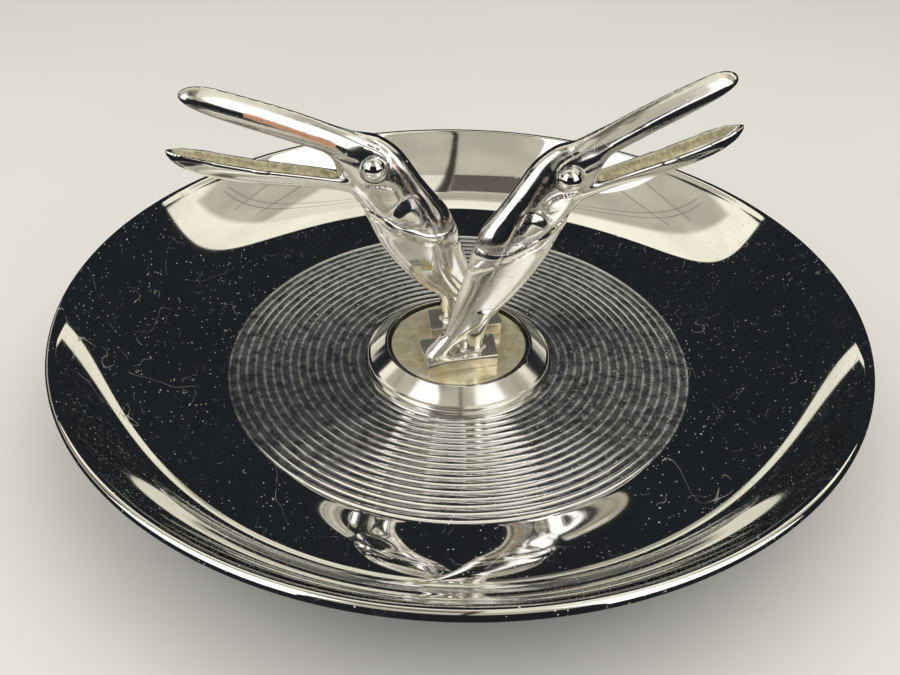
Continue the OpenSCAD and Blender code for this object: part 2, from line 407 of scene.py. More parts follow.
def casting_material(name, copper=None, yellow=None):
    """Worn bright plate, with a bare copper streak and a yellow crust where their places are given.

    The mesh's marks say where the dirt, the pits with their painted dark reflection, stains, the rough trough
    and the duller foot are.
    """
    s = Shader(name)
    haze = s.noise(60, 3, 0.6)
    fine = s.noise(1500, 2)
    colour = s.mix(s.ramp(haze, 0.4, 0.75), (0.91, 0.90, 0.88), (0.83, 0.81, 0.76))
    gloss = s.math("MULTIPLY_ADD", fine, 0.03, s.ramp(haze, 0.35, 0.7, 0.09, 0.16))
    lines = s.times(hairlines(s, 60, 0.0025, 0.52), 0.3)
    gloss = s.math("ADD", gloss, lines)
    grime = s.times(s.mark("grime"), s.ramp(s.noise(420, 3, 0.7), 0.42, 0.62))
    pits = s.times(s.mark("pits_and_painted_reflection"), s.ramp(s.noise(1800, 3, 0.7), 0.52, 0.66))
    stain = s.times(s.mark("stained"), s.ramp(s.noise(420, 3, 0.6), 0.38, 0.58))
    # Painted dark reflection: this mark darkens the colour evenly over the valley, the pocket's lower slope
    # and the bill's lower side, besides the real pitting.
    colour = s.mix(s.times(s.mark("pits_and_painted_reflection"), 0.55), colour, PIT_DARK_AND_PAINTED_REFLECTION)
    colour = s.mix(s.times(stain, 0.6), colour, BROWN_STAIN)
    dust = s.times(specks(s, 700, 0.32, 0.08), 0.7)
    crumbs = s.times(specks(s, 1100, 0.36, 0.35), s.times(pits, 0.9))
    dust = s.larger(dust, crumbs)
    colour = s.mix(dust, colour, PALE_DUST)
    colour = s.mix(s.times(grime, 0.75), colour, BROWN_DIRT)
    gloss = s.larger(gloss, s.times(s.larger(grime, pits), 0.45))
    trough, foot = s.mark("trough"), s.mark("foot")
    grain = s.noise(650, 4, 0.7)
    rough_colour = s.mix(s.ramp(grain, 0.35, 0.65), (0.86, 0.79, 0.50), (0.46, 0.40, 0.22))
    colour = s.mix(s.times(trough, 0.9), colour, rough_colour)
    foot_colour = s.mix(s.ramp(s.noise(300, 4, 0.65), 0.35, 0.65), (0.80, 0.77, 0.64), (0.55, 0.50, 0.36))
    colour = s.mix(s.times(foot, 0.6), colour, foot_colour)
    duller = s.larger(s.times(trough, 0.45), s.times(foot, 0.1))
    gloss = s.larger(gloss, duller)
    covered = s.larger(s.times(trough, 0.6), s.times(foot, 0.15))
    metal = s.math("SUBTRACT", 1.0, covered)
    metal = s.math("SUBTRACT", metal, s.larger(dust, s.times(grime, 0.6)), clamp=True)
    for patch, tint, least in ((copper, BARE_COPPER, 0.3), (yellow, YELLOW_CRUST, 0.42)):
        if patch:
            cover = s.times(s.along(*patch), s.ramp(s.noise(900, 3, 0.7), least, least + 0.14))
            colour = s.mix(cover, colour, tint)
            gloss = s.larger(gloss, s.times(cover, 0.3))
            metal = s.times(metal, s.math("MULTIPLY_ADD", cover, -0.75, 1.0))
    height = s.math("MULTIPLY_ADD", s.noise(170, 2, 0.5), 0.9, s.times(pits, -1.6))
    height = s.math("MULTIPLY_ADD", s.times(grain, trough), 9.0, height)
    s.bump(height, 0.012 * MM)
    return s.set(Base_Color=colour, Roughness=gloss, Metallic=metal)


def eye_material():
    """Bright plate without dust."""
    return chrome("eye_plate", (0.90, 0.89, 0.87), (0.82, 0.80, 0.76), 0.03, (260, 0.004)).material


def seat_material():
    """Dull nickel, tan with age, with darker blotches, and a painted dark ring of shade round its edge."""
    s = Shader("seat_nickel")
    blotch = s.noise(240, 4, 0.65, 0.4)
    fine = s.noise(1800, 3, 0.6)
    colour = s.mix(s.ramp(blotch, 0.35, 0.68), (0.86, 0.79, 0.56), (0.62, 0.53, 0.30))
    colour = s.mix(s.ramp(s.noise(90, 3, 0.6), 0.45, 0.7, 0, 0.6), colour, (0.60, 0.59, 0.52))
    # Painted shade: this dark ring round the disc's edge stands in for the shadow in the gap under the
    # collar's rebate.
    edge = s.ramp(s.from_axis(), SEAT_R - 0.4 * MM, SEAT_R - 0.1 * MM, 0, 0.9)
    colour = s.mix(edge, colour, (0.03, 0.03, 0.025))
    mottle = s.math("ADD", s.times(blotch, 0.7), s.times(fine, 0.3))
    gloss = s.ramp(mottle, 0.3, 0.75, 0.12, 0.3)
    s.bump(s.math("ADD", blotch, s.times(fine, 0.3)), 0.02 * MM)
    return s.set(Base_Color=colour, Roughness=gloss, Metallic=0.55)


def steel_material():
    """Zinc plated steel with its fine crystal pattern."""
    s = Shader("zinc_steel")
    flakes = s.cells(900)[1]
    blotch = s.noise(120, 3, 0.6)
    colour = s.mix(s.ramp(flakes, 0.2, 0.9), (0.55, 0.56, 0.57), (0.68, 0.68, 0.66))
    gloss = s.math("ADD", s.ramp(blotch, 0.3, 0.7, 0.28, 0.42), s.times(flakes, 0.08))
    s.bump(blotch, 0.01 * MM)
    return s.set(Base_Color=colour, Roughness=gloss, Metallic=1.0)


def felt_material():
    """Dark green felt."""
    s = Shader("green_felt")
    fibre = s.noise(3200, 4, 0.75, 1.2)
    cloud = s.noise(180, 3, 0.6)
    mixed = s.math("ADD", s.times(fibre, 0.65), s.times(cloud, 0.35))
    colour = s.mix(s.ramp(mixed, 0.3, 0.7), (0.025, 0.075, 0.045), (0.07, 0.16, 0.10))
    s.bump(fibre, 0.25 * MM)
    return s.set(Base_Color=colour, Roughness=0.95, Sheen_Weight=0.5, Sheen_Roughness=0.5)


def floor_material():
    """A pale matt floor."""
    s = Shader("pale_floor")
    colour = s.mix(s.ramp(s.noise(3, 2), 0.3, 0.7), (0.80, 0.79, 0.77), (0.83, 0.82, 0.80))
    return s.set(Base_Color=colour, Roughness=0.75)


# ---------------------------------------------------------------- stage: floor, panels, fill light, world
CEILING_H = 1.0


def stage_mesh(name, verts, faces, material):
    """A stage piece from points in metres."""
    obj = mesh_object(name, verts, faces, smooth=False)
    obj.data.materials.append(material)
    return obj


def add_floor():
    """The pale floor. The plate mirrors darkness where it would mirror the floor."""
    size = 4.0
    corners = [(-size, -size, 0), (size, -size, 0), (size, size, 0), (-size, size, 0)]
    stage_mesh("floor", corners, [(0, 1, 2, 3)], floor_material()).visible_glossy = False


def ceiling_material():
    """A pale ceiling with a bright strip along its far edge, thin dark seams and a gap."""
    s = Shader("ceiling_light", "ShaderNodeEmission")
    x, y, _ = s.axes()
    aside = s.math("ABSOLUTE", x)
    strip = s.ramp(s.math("SUBTRACT", y, s.math("MULTIPLY_ADD", aside, 0.11, 0.2)), -0.02, 0.05)
    strip = s.larger(strip, s.ramp(aside, 1.55, 1.7))
    inner = s.times(s.ramp(x, 0.05, 0.07, 0, 0.7), s.ramp(y, -0.36, -0.33))
    strip = s.larger(strip, s.times(inner, s.ramp(x, 0.55, 0.6, 1, 0)))
    cloud = s.noise(2.2, 2)
    strength = s.math("MULTIPLY_ADD", strip, 0.46, s.ramp(cloud, 0.35, 0.65, 0.46, 0.56))
    seam = s.ramp(s.apart(x, 0.055), 0.008, 0.03, 0.9, 0)
    dark = s.times(seam, s.ramp(y, 0.0, 0.02, 1, 0))
    for place in (0.06, 0.12):
        line = s.ramp(s.apart(y, place), 0.003, 0.007, 0.5, 0)
        dark = s.larger(dark, s.times(line, s.ramp(aside, 1.4, 1.45, 1, 0)))
    for place in (0.75, 1.05):
        line = s.ramp(s.apart(aside, place), 0.006, 0.011, 0.45, 0)
        dark = s.larger(dark, s.times(line, s.ramp(y, 0.2, 0.22, 1, 0)))
    gap = s.ramp(s.apart(y, -0.19), 0.16, 0.18, 0.75, 0)
    gap = s.times(gap, s.ramp(s.apart(x, -0.15), 0.18, 0.20, 1, 0))
    dark = s.larger(dark, gap)
    strength = s.times(strength, s.math("SUBTRACT", 1.0, dark))
    tint = s.mix(strip, (1.0, 0.945, 0.76), (1.0, 0.965, 0.80))
    return s.set(Strength=strength, Color=s.mix(gap, tint, (1.0, 0.80, 0.66)))


def panel_material(name, strength, colour):
    """A soft light panel that is a little uneven."""
    s = Shader(name, "ShaderNodeEmission")
    return s.set(Strength=s.ramp(s.noise(5, 2), 0.3, 0.7, strength * 0.9, strength), Color=colour)


def wall_material():
    """A beige wall that turns whitish higher up."""
    s = Shader("wall_light", "ShaderNodeEmission")
    z = s.height()
    colour = s.mix(s.ramp(z, 0.25, 0.4), (1.0, 0.93, 0.74), (1.0, 0.95, 0.88))
    return s.set(Strength=s.ramp(z, 0.25, 0.4, 0.38, 0.5), Color=colour)


def hide_from_camera(obj):
    """The panel is mirrored in the plate and lights the scene, but isn't seen and casts no shadow."""
    obj.visible_camera = False
    obj.visible_shadow = False


def add_ceiling():
    """A flat panel overhead, wide at the far end and narrow in front, with a far edge that bends in two."""
    edge = [(-2.0, 0.80), (-1.85, 0.40), (-1.55, 0.0), (-1.2, -0.5), (-0.8, -1.1), (0.8, -1.1), (1.2, -0.5),
            (1.55, 0.0), (1.85, 0.40)]
    steps = 16
    for i in range(steps):
        x = 2.0 - 4.0 * i / steps
        edge.append((x, 0.475 + 0.16 * abs(x)))
    verts = [(x, y, CEILING_H) for x, y in edge]
    hide_from_camera(stage_mesh("ceiling", verts, [tuple(range(len(edge)))], ceiling_material()))


def add_windows():
    """Two slanting panels in front, to the left and to the right, for the long highlights on the birds."""
    low, high = (1.2, 0.18), (0.47, CEILING_H - 0.01)
    corners = ((low, 100), (low, 148), (high, 146), (high, 108))
    for side, name in ((-1, "left_window"), (1, "right_window")):
        verts = []
        for (reach, z), bearing in corners:
            a = math.radians(bearing)
            verts.append((side * reach * math.sin(a), reach * math.cos(a), z))
        light = panel_material(name, 1.5, (1.0, 0.98, 0.95))
        hide_from_camera(stage_mesh(name, verts, [(0, 1, 2, 3)], light))


def add_left_wall():
    """An upright curved panel on the left, for the right bird's neck and the rim."""
    reach, low, high = 1.25, 0.09, 0.42
    start, sweep = 50, 62
    steps = 6
    verts, faces = [], []
    for i in range(steps + 1):
        a = math.radians(start + sweep * i / steps)
        verts += [(-reach * math.sin(a), reach * math.cos(a), z) for z in (low, high)]
    for i in range(steps):
        faces.append((2 * i, 2 * i + 1, 2 * i + 3, 2 * i + 2))
    hide_from_camera(stage_mesh("left_wall", verts, faces, wall_material()))


def add_fill():
    """A wide soft light that brightens the floor but isn't seen in the plate."""
    data = bpy.data.lights.new("fill", "AREA")
    data.shape = "RECTANGLE"
    data.size = 3.0
    data.size_y = 3.0
    data.energy = 34
    data.color = (1.0, 0.985, 0.96)
    obj = new_object("fill", data)
    obj.location = (0, 0, 1.6)
    obj.visible_glossy = False
    obj.visible_camera = False


def add_world():
    """The dim surroundings that the plate mirrors between the panels."""
    world = bpy.data.worlds.new("world")
    world.use_nodes = True
    background = world.node_tree.nodes["Background"]
    background.inputs["Color"].default_value = (0.014, 0.016, 0.019, 1)
    background.inputs["Strength"].default_value = 1.0
    bpy.context.scene.world = world


# ---------------------------------------------------------------- dish, collar, seat, foot
def dished(r):
    """How far the floor has risen at a radius, in millimetres."""
    return 0 if r < FLAT_R else FLOOR_RISE * (r - FLAT_R) / (REED_R - FLAT_R)


def rim_curve():
    """The wall from the edge of the reeds to the rim: points on its top, and those on its underside."""
    low, high = math.radians(3.5), math.radians(RIM_SLOPE)
    low_pull, high_pull = 15.8, 30
    start = np.array((REED_R + 1, FLOOR_RISE + 0.1))
    end = np.array((RIM_R / MM - BEAD_R - BEAD_R * math.sin(high), RIM_RISE + BEAD_R * math.cos(high)))
    control = (start, start + low_pull * np.array((math.cos(low), math.sin(low))),
               end - high_pull * np.array((math.cos(high), math.sin(high))), end)

    def at(t):
        weights = ((1 - t) ** 3, 3 * t * (1 - t) ** 2, 3 * t * t * (1 - t), t ** 3)
        return sum(w * c for w, c in zip(weights, control))

    steps = 60
    top, under = [], []
    for i in range(steps + 1):
        t = i / steps
        along = at(t + 0.001) - at(t - 0.001)
        top.append(at(t))
        under.append(at(t) + SHEET_T * np.array((along[1], -along[0])) / np.linalg.norm(along))
    return top, under


def add_dish():
    """The pressed dish: flat middle, rounded reeds, one long curve, rolled rim and its underside."""
    steps, bead_steps, under_steps = 10, 24, 16
    bead_sweep = 270
    pitch = (REED_R - FLAT_R) / REED_COUNT
    outline = [(0, 0), (12, 0), (24, 0)]
    for i in range(REED_COUNT):
        for k in range(steps):
            r = FLAT_R + (i + k / steps) * pitch
            outline.append((r, dished(r) + REED_H * (1 - (2 * k / steps - 1) ** 2)))
    outline.append((REED_R, FLOOR_RISE))
    top, under = rim_curve()
    rim = np.array((RIM_R / MM - BEAD_R, RIM_RISE))
    outline += top
    for k in range(1, bead_steps + 1):
        a = math.radians(RIM_SLOPE + 90 - bead_sweep * k / bead_steps)
        outline.append(rim + BEAD_R * np.array((math.cos(a), math.sin(a))))
    outline += [p for p in reversed(under) if np.linalg.norm(p - rim) > BEAD_R * 1.05]
    for i in range(under_steps, -1, -1):
        r = FLAT_R + (REED_R - FLAT_R) * i / under_steps
        outline.append((r, dished(r) - SHEET_T))
    outline += [(16, -SHEET_T), (0, -SHEET_T)]
    outline = [(p[0], p[1] + FLOOR_Z / MM) for p in outline]
    finish_piece(lathe("dish_shell", outline, 360), dish_material(), "dish_chrome", "dish")


def add_collar():
    """The bevelled ring with its small lip, rebate and bore."""
    z = FLOOR_Z / MM
    top = COLLAR_TOP / MM
    r = COLLAR_R / MM
    seat = SEAT_LOW / MM
    bore, rebate, crown = 18, SEAT_R / MM + 1.2, 25.5
    outline = rounded([(bore, z, 0.15), (r, z, 0.15), (r, z + 2.6, 0.55), (r - 1.1, z + 3.05, 0.35),
                       (crown, top, 0.35), (rebate, top, 0.3), (rebate, seat, 0.1), (bore, seat, 0.15)])
    finish_piece(lathe("collar_ring", outline), collar_material(), "collar_chrome", "collar")


def add_seat():
    """The disc under the birds, with a rounded edge and a slightly lower border."""
    low, top, r = SEAT_LOW / MM, SEAT_TOP / MM, SEAT_R / MM
    edge = rounded([(0, low, 0), (r, low, 0.2), (r, top - 0.12, 0.3), (r - 1.5, top, 0.6), (0, top, 0)])
    finish_piece(lathe("seat_plate", edge), seat_material(), "seat_nickel", "seat_disc")


def add_foot():
    """The ring under the dish and the felt on it."""
    band, width, felt = 1.2, 7, FELT_TOP / MM
    border = 0.5
    r = FOOT_R / MM
    z = FLOOR_Z / MM - SHEET_T - 0.05
    outline = rounded([(r - width, felt, 0.3), (r, felt, 0.5), (r, z + dished(r), 0.1),
                       (r - band, z + dished(r - band), 0.1), (r - band, felt + band, 0.6),
                       (r - width, felt + band, 0.3)])
    finish_piece(lathe("foot_band", outline), dish_material(), "dish_chrome", "foot_ring")
    inner, outer = r - width + border, r - border
    outline = rounded([(inner, 0, 0.15), (outer, 0, 0.3), (outer, felt, 0.1), (inner, felt, 0.1)])
    finish_piece(lathe("felt_pad", outline), felt_material(), "felt", "felt_ring")


# ---------------------------------------------------------------- birds
# Each row is back (outwards, up), throat (outwards, up), half width, lean to the side, in millimetres,
# from the tip of the upper bill to the foot of the neck. The neck's foot is a little slimmer than in the CAD.
BODY = (
    (79.3, 96.6, 79.1, 95.6, 0.9, 0), (78.0, 97.9, 77.7, 94.2, 2.5, 0), (74.5, 98.6, 75.5, 92.7, 3.5, 0),
    (69.2, 97.6, 71.0, 90.2, 3.9, 0), (59.0, 93.8, 62.0, 86.0, 3.9, 0), (47.0, 88.9, 50.4, 80.9, 4.1, 0),
    (36.4, 83.9, 40.2, 75.8, 4.6, 0), (29.6, 81.5, 37.0, 68.0, 5.2, 0), (24.1, 79.9, 33.4, 62.2, 5.6, 0.5),
    (17.9, 74.9, 30.4, 57.4, 5.7, 1.2), (12.0, 66.0, 28.2, 50.5, 5.5, 1.7), (7.0, 59.2, 25.2, 43.6, 5.7, 1.9),
    (3.2, 53.8, 21.4, 37.4, 5.9, 2), (0.3, 46.8, 17.0, 31.6, 5.4, 2), (-2.0, 38.5, 11.7, 25.8, 4.7, 1.8),
    (-4.5, 30.9, 5.5, 20.4, 4.0, 1.3), (-6.8, 24.1, -0.6, 15.8, 3.2, 0.7), (-8.8, 18.5, -6.2, 12.6, 2.2, 0))
# Each row is the middle of the lower bill's open edge (outwards, up), its keel, and its half width.
JAW = (
    (29.0, 66.5, 30.5, 61.9, 4.2), (38.5, 69.0, 40.0, 64.4, 4.3), (45.0, 70.7, 46.2, 65.8, 4.4),
    (60.0, 74.2, 61.6, 68.6, 4.5), (73.0, 78.1, 75.0, 72.3, 4.3), (79.8, 80.3, 82.0, 76.0, 3.3),
    (84.0, 81.3, 84.9, 79.1, 1.5), (85.2, 81.6, 85.4, 81.1, 0.5))
JAW_SLOPE = math.radians(14.6)
# The foot flange's corners, in the dish's own x and y.
FLANGE = ((-10.7, -18.6), (12.3, -12.5), (10.8, -0.6), (-9, -4.1), (-13.5, -5.1), (-14.4, -6.8))


def to_plane(x, y):
    """The dish's x and y, from the ornament's own axis, as (outwards, sideways) in the bird's plane."""
    c, s = math.cos(BIRD_TURN), math.sin(BIRD_TURN)
    return x * c + y * s, y * c - x * s + BIRD_OFFSET


def smooth_rows(rows, steps):
    """A Catmull-Rom curve through rows of numbers."""
    rows = np.array(rows, float)
    padded = np.vstack((2 * rows[0] - rows[1], rows, 2 * rows[-1] - rows[-2]))
    out = []
    for i in range(len(rows) - 1):
        a, b, c, d = padded[i:i + 4]
        for k in range(steps):
            t = k / steps
            out.append(0.5 * (2 * b + (c - a) * t + (2 * a - 5 * b + 4 * c - d) * t ** 2
                              + (3 * b - a - 3 * c + d) * t ** 3))
    out.append(rows[-1])
    return np.array(out)


def loft(name, rings):
    """A closed shell through rings of equal count, in millimetres, with a flat cap at each end."""
    n = len(rings[0])
    verts = [np.array(p) * MM for ring in rings for p in ring]
    faces = [(j * n + i, j * n + (i + 1) % n, (j + 1) * n + (i + 1) % n, (j + 1) * n + i)
             for j in range(len(rings) - 1) for i in range(n)]
    faces += [tuple(range(n)), tuple(range((len(rings) - 1) * n, len(rings) * n))]
    return mesh_object(name, verts, faces)


def body_section(back_round, chamfer, square):
    """A ring of (towards the back, sideways) from -1 to 1: a back, flat flanks and a throat.

    back_round is the share of the height that the back takes. chamfer mixes its rounding with a flat slope.
    square is how boxy the throat is.
    """
    steps, flank_steps = 12, 4
    quarter = [math.pi / 2 * k / steps for k in range(steps + 1)]
    half = []
    for k, a in enumerate(quarter):
        drop = (1 - chamfer) * (1 - math.cos(a)) + chamfer * k / steps
        half.append((1 - back_round * drop, (1 - chamfer) * math.sin(a) + chamfer * k / steps))
    half += [((1 - back_round) * (1 - k / flank_steps), 1.0) for k in range(1, flank_steps)]
    half += [(-math.sin(a), max(0.0, math.cos(a)) ** (1 - square)) for a in quarter]
    return half + [(u, -v) for u, v in half[-2:0:-1]]


def body_loft():
    """Neck, head and upper bill. The section changes from the bill's to the neck's behind the sixth row."""
    steps = 8
    rings = []
    for k, (back_s, back_z, throat_s, throat_z, half, lean) in enumerate(smooth_rows(BODY, steps)):
        back, throat = np.array((back_s, back_z)), np.array((throat_s, throat_z))
        middle, reach = (back + throat) / 2, (back - throat) / 2
        half = max(half, 0.3)
        bill = 1 - float(smoothstep((k / steps - 5) / 3))
        back_round = min(0.98, (1.8 - 0.8 * bill) * half / float(np.linalg.norm(reach)))
        ring = []
        for u, v in body_section(back_round, 0.7 * bill, 0.5 * bill):
            s, z = middle + reach * u
            ring.append((s, lean + half * v, z))
        rings.append(ring)
    return loft("body", rings)


def jaw_loft():
    """The lower bill: a keeled trough that closes at the head and at its tip."""
    arc = 17
    rings = []
    for edge_s, edge_z, keel_s, keel_z, half in smooth_rows(JAW, 8):
        edge, drop = np.array((edge_s, edge_z)), np.array((keel_s - edge_s, keel_z - edge_z))
        open_up = min(1, max(0.02, (edge_s - 36.5) / 4)) ** 0.5
        close = min(1, max(0.02, (84.5 - edge_s) / 5)) ** 0.5
        hollow = 0.66 * open_up * close
        ring = []
        for i in range(arc):
            a = math.pi * (i / (arc - 1) - 0.5)
            s, z = edge + drop * math.cos(a)
            ring.append((s, half * math.sin(a), z))
        for i in range(arc):
            a = -math.pi * (i / (arc - 1) - 0.5)
            s, z = edge + drop * math.cos(a) * hollow
            ring.append((s, half * hollow * math.sin(a), z))
        rings.append(ring)
    return loft("jaw", rings)


def leg_loft(name, levels):
    """An upright leg: each level is centre x, y, height, half length, half width."""
    around = 32
    rings = []
    for x, y, z, half_x, half_y in smooth_rows(levels, 6):
        ring = []
        for i in range(around):
            a = 2 * math.pi * i / around
            s, w = to_plane(x + half_x * math.cos(a), y + half_y * math.sin(a))
            ring.append((s, w, z))
        rings.append(ring)
    return loft(name, rings)


def applied(obj):
    """Replaces the object's mesh with what its modifiers make of it."""
    graph = bpy.context.evaluated_depsgraph_get()
    mesh = bpy.data.meshes.new_from_object(obj.evaluated_get(graph))
    obj.modifiers.clear()
    obj.data = mesh
    return obj


def joined(name, parts):
    """One object that holds all the parts' meshes."""
    bm = bmesh.new()
    for part in parts:
        bm.from_mesh(part.data)
        bpy.data.objects.remove(part)
    mesh = bpy.data.meshes.new(name)
    bm.to_mesh(mesh)
    bm.free()
    return new_object(name, mesh)


def flange_plate():
    """The cast foot, with softened edges."""
    low, high = FLANGE_Z, FLANGE_Z + FLANGE_T
    points = [to_plane(x, y) for x, y in FLANGE]
    n = len(points)
    verts = [(s * MM, w * MM, z * MM) for z in (low, high) for s, w in points]
    faces = [tuple(range(n)), tuple(range(n, 2 * n))]
    faces += [(i, (i + 1) % n, (i + 1) % n + n, i + n) for i in range(n)]
    obj = mesh_object("flange", verts, faces)
    bevel = obj.modifiers.new("bevel", "BEVEL")
    bevel.width = 0.3 * MM
    bevel.segments = 3
    return applied(obj)


def smoothstep(x):
    """0 below 0 and 1 above 1, with a smooth rise between them."""
    x = np.clip(x, 0, 1)
    return x * x * (3 - 2 * x)


class Line:
    """A smooth line drawn on the bird's side, through points given in (outwards, up)."""

    def __init__(self, points, closed=False):
        rows = list(points)
        if closed:
            rows = rows[-1:] + rows + rows[:2]
            self.points = smooth_rows(rows, 8)[8:-8]
        else:
            self.points = smooth_rows(rows, 8)

    def measure(self, s, z):
        """Each point's distance from the line, its signed distance and how far along the line it lies.

        The signed distance is positive to the left of the line, and the third value runs from 0 to 1.
        """
        best = np.full(len(s), 1e9)
        side = np.zeros(len(s))
        along = np.zeros(len(s))
        count = len(self.points) - 1
        for i in range(count):
            a, b = self.points[i], self.points[i + 1]
            d = b - a
            length = float(d @ d)
            t = np.clip(((s - a[0]) * d[0] + (z - a[1]) * d[1]) / length, 0, 1)
            ds, dz = s - a[0] - t * d[0], z - a[1] - t * d[1]
            distance = np.hypot(ds, dz)
            nearer = distance < best
            best[nearer] = distance[nearer]
            side[nearer] = np.sign(d[0] * dz - d[1] * ds)[nearer]
            along[nearer] = ((i + t) / count)[nearer]
        return best, best * side, along


def bell(x, width):
    """1 at zero, falling away on both sides over the width."""
    return np.exp(-(x / width) ** 2)


def groove(s, z, line, width, depth, fade=0.08):
    """A rounded groove along a line, which runs out at both ends."""
    distance, _, along = line.measure(s, z)
    ends = smoothstep(along / fade) * smoothstep((1 - along) / fade)
    return -depth * bell(distance, width) * ends


def from_eye(s, z):
    """Distance outside the eye's edge, seen from the side."""
    return np.hypot(s - EYE_PLACE[0], z - EYE_PLACE[1]) - EYE_R


# Lines on the bird's side, as (outwards, up). The crest is a fine line along the back.
CREST = Line([(4.7, 36.9), (7.8, 46.7), (11.9, 55.6), (15.8, 62.9), (19.6, 70.4), (23.5, 76.9), (28.3, 79.8),
              (36.6, 84.5), (47.1, 89.5), (57.7, 93.9), (67.9, 97.3)])
BILL_ROOT = Line([(50, 88.3), (43.5, 85.6), (37.0, 82.4), (30.5, 79.0), (26.0, 77.0), (23.6, 74.6),
                  (23.4, 71.5)])
NOTCH = Line([(30.0, 79.2), (27.2, 78.2), (24.8, 77.2)])
MOUTH = Line([(31.2, 73.6), (34.0, 74.8), (38.5, 76.2), (44.0, 79.5)])
CHEEK = Line([(31.0, 66.6), (27.6, 66.4), (24.2, 66.0), (21.4, 64.3), (20.2, 61.0), (22.9, 58.0)])
POCKET = Line([(23.4, 55.9), (20.0, 60.0), (16.0, 61.6), (12.9, 58.9), (11.6, 52.9), (16.2, 50.6),
               (22.9, 53.6)], closed=True)
HEM = Line([(-5.0, 54.5), (-1.1, 51.5), (3.0, 48.3), (10.5, 48.2), (16.1, 50.6), (20.1, 51.7), (24.0, 54.6),
            (30.0, 58.0)])
CREASE = Line([(-8.0, 38.0), (-4.1, 39.9), (-0.7, 42.0), (7.2, 44.7), (12.9, 46.4), (17.4, 48.6),
               (22.5, 51.6)])
THROAT_EDGE = Line([(24.6, 50.5), (22.6, 44.2), (18.8, 38.2), (14.2, 33.0), (8.6, 27.6), (2.4, 22.2),
                    (-3.0, 17.4)])
THROAT_LINE = Line([(30.5, 62.0), (28.2, 58.2), (27.0, 53.5), (25.6, 48.0)])
VALLEY = Line([(25, 72), (21.8, 68.5), (19.5, 66), (17.6, 63), (14, 57.4), (11.5, 52.5), (7, 50), (2.5, 50),
               (-1.5, 53)])
STAIN = Line([(21.5, 72), (18.0, 68.0), (16.6, 65.5), (9, 53.5), (4, 51.5), (1.5, 53.0)])
LEAF = Line([(9.0, 44.6), (7.8, 39.5), (6.0, 33.6), (3.0, 27.6), (-0.5, 22.4)])

# Each patch on the left bird is where it starts and ends (outwards, sideways, up), and its width.
COPPER_STREAK = ((38.4, 4.3, 79.8), (62, 4.0, 90.9), 0.9)
YELLOW_SPOT = ((10.8, 7.0, 35.9), (12.6, 7.0, 39.2), 1.5)


def bird_relief(s, w, z):
    """How far the casting's surface stands proud of the plain loft, in millimetres."""
    out = groove(s, z, CREST, 0.4, 0.15)
    _, side, along = BILL_ROOT.measure(s, z)
    ends = smoothstep(along / 0.5) * smoothstep((1 - along) / 0.06)
    out += ends * np.where(side > 0, 0.5 * bell(side, 4.0), -0.12 * bell(side, 0.9))
    out += groove(s, z, NOTCH, 1.0, 0.2, 0.3)
    out += groove(s, z, MOUTH, 0.6, 0.25, 0.2)
    _, side, along = CHEEK.measure(s, z)
    ends = smoothstep(along / 0.2) * smoothstep((1 - along) / 0.2)
    out += ends * np.where(side > 0, 0.4 * bell(side, 2.2), -0.4 * bell(side, 1.4))
    _, side, _ = POCKET.measure(s, z)
    out += 0.9 * smoothstep(side / 3.6) - 0.2 * bell(side, 0.8)
    _, side, _ = HEM.measure(s, z)
    above = np.clip(side, 0, None)
    sleeve = 0.3 * smoothstep(above / 3) * (1 - smoothstep((above - 4) / 10)) - 0.22 * bell(above, 0.8)
    roll = 0.6 * bell(side + 2.0, 1.9)
    hem = np.where(side > 0, sleeve, roll)
    out += (hem + groove(s, z, CREASE, 1.0, 0.4, 0.1)) * (0.3 + 0.7 * smoothstep((s - 1) / 6))
    out += groove(s, z, THROAT_EDGE, 0.45, 0.2)
    out += groove(s, z, THROAT_LINE, 0.5, 0.2)
    out += groove(s, z, LEAF, 0.6, 0.35) * smoothstep(0.5 + w / 3)
    out -= 0.25 * bell(from_eye(s, z) - 0.1, 0.3)
    return out * smoothstep((z - 14.5) / 3)


